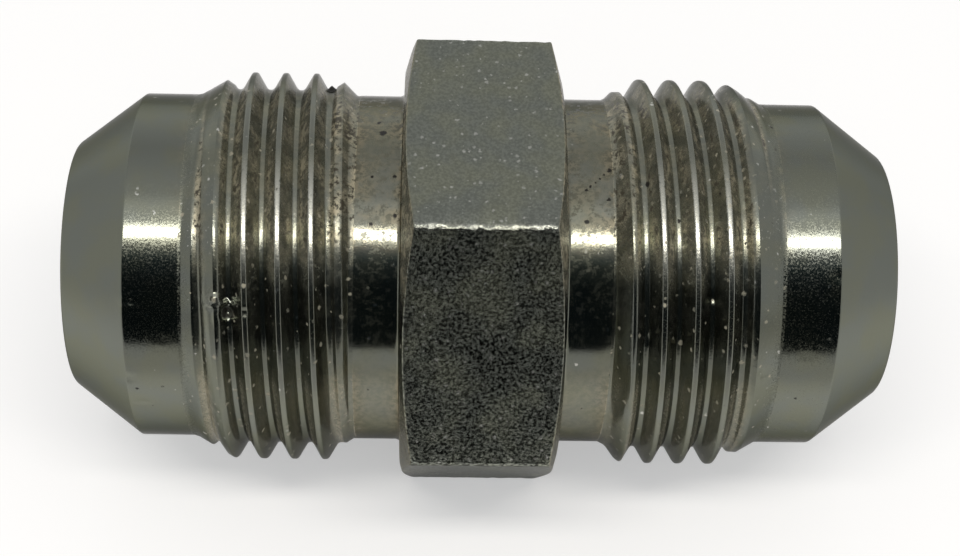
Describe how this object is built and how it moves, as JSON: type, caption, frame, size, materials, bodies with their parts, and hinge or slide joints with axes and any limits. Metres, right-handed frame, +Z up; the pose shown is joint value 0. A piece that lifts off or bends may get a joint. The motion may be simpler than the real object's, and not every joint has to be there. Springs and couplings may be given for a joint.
{
  "type": "hydraulic adapter",
  "caption": "Straight hydraulic tube union: a hexagon between threaded ends with cone seats and a bore right through.",
  "frame": {"origin": "middle of the hexagon's bottom flat, halfway between the two tips", "axes": "+X along the bore axis, +Z up from the resting flat, +Y away from the picture's viewer"},
  "size_m": [0.0554, 0.033, 0.0286],
  "materials": {
    "plated_steel": "zinc-plated turned steel, dulled and soiled"
  },
  "bodies": {
    "root": {"adapter_body": "plated_steel"}
  },
  "joints": []
}
